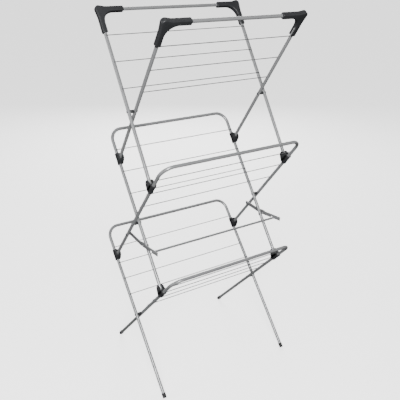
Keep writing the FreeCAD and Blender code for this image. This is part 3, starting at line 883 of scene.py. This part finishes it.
stay = {
    "drop": 81.5,
    "studBelow": 6.5,
    "thickness": 3.0,
    "height": 15.0,
    "ear": 10.0,
    "kink": 92.0,
    "kinkDrop": 3.0,
    "length": 212.0,
    "rise": 7.5,
    "hump": 4.0,
    "humpBehind": 22.0,
    "humpPeak": 4.0,
    "humpAhead": 16.0,
    "barReach": 183.0,
    "barRadius": 4.0,
    "barSides": 28,
    "barRim": 1.3,
    "barBeyond": 1.7,  # bar's end beyond the strip
    "notchReach": 164.0,
    "notchWidth": 14.0,
    "notchDepth": 6.0,
    "studRadius": 3.0,
    "overhang": 1.5,
    "pivotCollar": 4.6,
    "softness": 0.45,
}
middleLean = leans["middle"]
stayY = stay["drop"] * math.sin(middleLean)
stayZ = heights["middle"] - stay["drop"] * math.cos(middleLean)
studDrop = stay["drop"] + stay["studBelow"]
studReach = stayY + studDrop * math.sin(middleLean)
studLift = heights["middle"] - studDrop * math.cos(middleLean) - stayZ
stayCentre = (outer + inner) / 2


# Height of the strip's middle line above its pivot.
def stayMiddle(reach):
    if reach <= stay["kink"]:
        return -stay["kinkDrop"] * reach / stay["kink"]
    return -stay["kinkDrop"] + math.tan(math.radians(stay["rise"])) * (reach - stay["kink"])


# How far the strip may reach at this height and stay inside the stud's path.
def sweptReach(lift):
    sweepRadius = studDrop - stay["studRadius"] - rack["sideClearance"]
    depth = stay["drop"] * math.cos(middleLean) - lift
    return stayY + math.sqrt(sweepRadius**2 - depth**2) - rack["sideClearance"]


def stripOutline():
    s = stay
    half = s["height"] / 2
    hookFront = studReach + s["studRadius"] + 2 * rack["sideClearance"]
    hookTop = studLift + s["studRadius"] + rack["sideClearance"]
    hookBack, mouthBack = sweptReach(hookTop), sweptReach(-s["kinkDrop"] - half)
    notchFront = s["notchReach"] + s["notchWidth"] / 2
    notchBack = s["notchReach"] - s["notchWidth"] / 2
    notchTop = stayMiddle(s["notchReach"]) - half + s["notchDepth"]
    humpBack, humpFront = studReach - s["humpBehind"], studReach + s["humpAhead"]
    humpTop = studReach - s["humpPeak"]
    points = [
        (-s["ear"] + 4.0, -half),
        (mouthBack, stayMiddle(mouthBack) - half),
        (hookBack, hookTop),
        (hookFront, hookTop),
        (hookFront, stayMiddle(hookFront) - half),
        (notchBack, stayMiddle(notchBack) - half),
        (notchBack, notchTop),
        (notchFront, notchTop),
        (notchFront, stayMiddle(notchFront) - half),
        (s["length"], stayMiddle(s["length"]) - half),
        (s["length"], stayMiddle(s["length"]) + half),
        (humpFront, stayMiddle(humpFront) + half),
        (humpBack, stayMiddle(humpBack) + half, humpTop, stayMiddle(humpTop) + half + s["hump"]),
        (-s["ear"] + 4.0, half),
        (-s["ear"] + 4.0, -half, -s["ear"], 0.0),
    ]
    return [(stayY - a, stayZ + b) for a, b in traced(points, 12)[:-1]]


shells = []
for sign in sides:
    near = sign * stayCentre - stay["thickness"] / 2
    shells.append(plate(stripOutline(), near, near + stay["thickness"], stay["softness"], 2))
made = assemble("stayStrips", shells, upright, "stay")
attach(made, "stay", ["stay_strip_left", "stay_strip_right"])

barY = stayY - stay["barReach"]
barZ = stayZ + stayMiddle(stay["barReach"])
barHalf = stayCentre + stay["thickness"] / 2 + stay["barBeyond"]
reach, rim = stay["barRadius"], stay["barRadius"] + stay["barRim"]
barProfile = [(0, -barHalf), (rim - 0.3, -barHalf), (rim, -barHalf + 0.4)]
barProfile += [(rim - 0.2, -barHalf + 1.4), (reach, -barHalf + 1.6), (reach, -barHalf + 6.0)]
barProfile += [(r, -z) for r, z in barProfile[::-1]]
bar = lathe(barProfile, stay["barSides"], facing((0, barY, barZ), (1, 0, 0)))
made = assemble("stayCrossbar", [bar], upright, "stay")
attach(made, "stay", ["stay_crossbar"])
print("stay done")


rivets = {
    "radius": 2.5,
    "head": [
        (0, 1.7),  # (radius, height) from the crown to the underside
        (1.2, 1.66),
        (2.3, 1.5),
        (3.3, 1.16),
        (4.1, 0.66),
        (4.5, 0.2),
        (4.6, -0.05),
        (2.5, -0.2),
        (0, -0.2),
    ],
    "headSides": 28,
    "shaftSides": 24,
    "spacerRadius": 5.7,
    "crossingShank": 37.35,
}
headPart = assemble("headPart", [lathe(rivets["head"], rivets["headSides"])], upright, "rivet")
headPart.hide_render = True


# Rivet heads at (x, y, z, way), where way is the X direction that a head faces.
def headSpots(name, places, shafts, place, body, nodes, look="rivet"):
    mesh = bpy.data.meshes.new(name)
    mesh.from_pydata([mm * (place @ Vector(p[:3])) for p in places], [], [])
    turns = mesh.attributes.new("turn", "FLOAT_VECTOR", "POINT")
    flat = [c for p in places for c in (0.0, p[3] * math.pi / 2, 0.0)]
    turns.data.foreach_set("vector", flat)
    item = bpy.data.objects.new(name, mesh)
    bpy.context.scene.collection.objects.link(item)
    bake(item, spots, {"Part": headPart, "Material": materials[look]})
    attach(item, body, nodes)
    if shafts:
        rods = assemble(name + "Shafts", shafts, place, look)
        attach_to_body(rods, body)


def shaft(reach, x0, x1, y, z):
    low, high = sorted((x0, x1))
    bevel = min(0.4, reach / 4)
    profile = [(0, low), (reach - bevel, low), (reach, low + bevel), (reach, high - bevel)]
    profile += [(reach - bevel, high), (0, high)]
    return lathe(profile, rivets["shaftSides"], facing((0, y, z), (1, 0, 0)))


outerBodies = {"top": "top_rear_frame", "middle": "middle_front_frame", "bottom": "bottom_rear_frame"}
for tier, body in outerBodies.items():
    z, places, rings, shafts = heights[tier], [], [], []
    far, gap = outer + radius, rack["sideClearance"]
    near = far - rivets["crossingShank"]
    for sign in sides:
        places += [(sign * far, 0, z, sign), (sign * near, 0, z, -sign)]
        shafts.append(shaft(rivets["radius"], sign * near, sign * far, 0, z))
        low, high = sorted((sign * (inner + radius + gap), sign * (outer - radius - gap)))
        profile = tubeCollar(rivets["radius"], rivets["spacerRadius"], low, high, 0.6)
        rings.append(lathe(profile, rack["smallSides"], facing((0, 0, z), (1, 0, 0)), ring=True))
    headSpots(tier + "RivetHeads", places, shafts, upright, body, [tier + "_rivets"])
    made = assemble(tier + "Spacers", rings, upright, "plastic")
    attach(made, body, [tier + "_spacers"])

for item in hoopFrames:
    edge = connectors["slot"] / 2 + connectors["cheek"] + connectors["bossHeight"]
    y, places, shafts = item["face"] * rack["pinOffset"], [], []
    for sign in sides:
        x = sign * item["half"]
        places += [(x - edge, y, pinHeight, -1), (x + edge, y, pinHeight, 1)]
        shafts.append(shaft(rivets["radius"], x - edge, x + edge, y, pinHeight))
    nodes = [item["node"] + "_pins"]
    headSpots(item["name"] + "PinHeads", places, shafts, item["place"], item["body"], nodes, "darkPin")

faceX = stayCentre + stay["thickness"] / 2
places, shafts, gap = [], [], rack["sideClearance"]
for sign in sides:
    near = stayCentre - stay["thickness"] / 2 - gap
    places += [(sign * (outer + radius), stayY, stayZ, sign), (sign * near, stayY, stayZ, -sign)]
    shafts.append(shaft(rivets["radius"], sign * near, sign * (outer + radius), stayY, stayZ))
    shafts.append(shaft(stay["pivotCollar"], sign * (faceX + gap), sign * (outer - radius), stayY, stayZ))
headSpots("stayPivotHeads", places, shafts, upright, "middle_front_frame", ["stay_pivot_rivets"])

studY, studZ = stayY - studReach, stayZ + studLift
places, shafts = [], []
for sign in sides:
    places += [(sign * (inner - radius), studY, studZ, -sign), (sign * (inner + radius), studY, studZ, sign)]
    tail = sign * (faceX + stay["overhang"])
    shafts.append(shaft(stay["studRadius"], sign * (inner + radius), tail, studY, studZ))
headSpots("stayStudHeads", places, shafts, upright, "middle_rear_frame", ["stay_catch_studs"])
bpy.data.objects.remove(headPart)
print("rivets done")


studio = {
    "floorHalf": 60.0,
    "floorColour": (0.93, 0.93, 0.93),
    "floorGlow": 1.9,
    "skyStrength": 2.2,
    "lights": [  # name, place, size and power
        ("keyLight", (-1.5, -2.5, 2.1), 1.1, 190.0),
        ("topLight", (0.6, 0.9, 4.0), 2.6, 25.0),
        ("sideLight", (2.8, -1.8, 1.9), 1.6, 14.0),
        ("backLight", (1.6, 2.9, 2.0), 2.0, 120.0),
        ("leftLight", (-3.2, 1.0, 1.6), 2.0, 50.0),
    ],
    "camera": (-1.05497, -1.64605, 1.54985),
    "yaw": 32.697,
    "pitch": 24.155,
    "roll": 0.889,
    "aim": (0.0, 0.0, 0.7),
    "lens": 50.03,
    "sensor": 36.0,
}
mesh = bpy.data.meshes.new("floor")
far = studio["floorHalf"]
mesh.from_pydata([(-far, -far, 0), (far, -far, 0), (far, far, 0), (-far, far, 0)], [], [(0, 1, 2, 3)])
floor = bpy.data.objects.new("floor", mesh)
bpy.context.scene.collection.objects.link(floor)
pale = bpy.data.materials.new("paleFloor")
pale.use_nodes = True
shader = pale.node_tree.nodes["Principled BSDF"]
shader.inputs["Base Color"].default_value = (*studio["floorColour"], 1.0)
shader.inputs["Roughness"].default_value = 0.9
shader.inputs["Emission Color"].default_value = (1.0, 1.0, 1.0, 1.0)
shader.inputs["Emission Strength"].default_value = studio["floorGlow"]
mesh.materials.append(pale)
floor.visible_diffuse = False  # the floor and the sky are seen, but only the lamps light the rack
floor.visible_glossy = False
floor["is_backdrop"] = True

world = bpy.data.worlds.new("studio")
bpy.context.scene.world = world
world.use_nodes = True
world.node_tree.nodes["Background"].inputs["Color"].default_value = (1.0, 1.0, 1.0, 1.0)
world.node_tree.nodes["Background"].inputs["Strength"].default_value = studio["skyStrength"]
world.cycles_visibility.diffuse = False
world.cycles_visibility.glossy = False
for name, spot, size, power in studio["lights"]:
    lamp = bpy.data.lights.new(name, "AREA")
    lamp.shape = "SQUARE"
    lamp.size = size
    lamp.energy = power
    item = bpy.data.objects.new(name, lamp)
    item.location = spot
    item.rotation_mode = "QUATERNION"
    item.rotation_quaternion = (Vector(studio["aim"]) - Vector(spot)).to_track_quat("-Z", "Y")
    bpy.context.scene.collection.objects.link(item)

yaw, pitch, roll = (math.radians(studio[k]) for k in ("yaw", "pitch", "roll"))
forward = Vector((math.sin(yaw) * math.cos(pitch), math.cos(yaw) * math.cos(pitch), -math.sin(pitch)))
right = Vector((math.cos(yaw), -math.sin(yaw), 0))
above = right.cross(forward)
rolledRight = right * math.cos(roll) + above * math.sin(roll)
rolledAbove = above * math.cos(roll) - right * math.sin(roll)
lens = bpy.data.cameras.new("camera")
lens.lens = studio["lens"]
lens.sensor_width = studio["sensor"]
camera = bpy.data.objects.new("camera", lens)
turn = Matrix((rolledRight, rolledAbove, -forward)).transposed().to_4x4()
camera.matrix_world = Matrix.Translation(studio["camera"]) @ turn
bpy.context.scene.collection.objects.link(camera)
bpy.context.scene.camera = camera
print("studio done")

low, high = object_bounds()
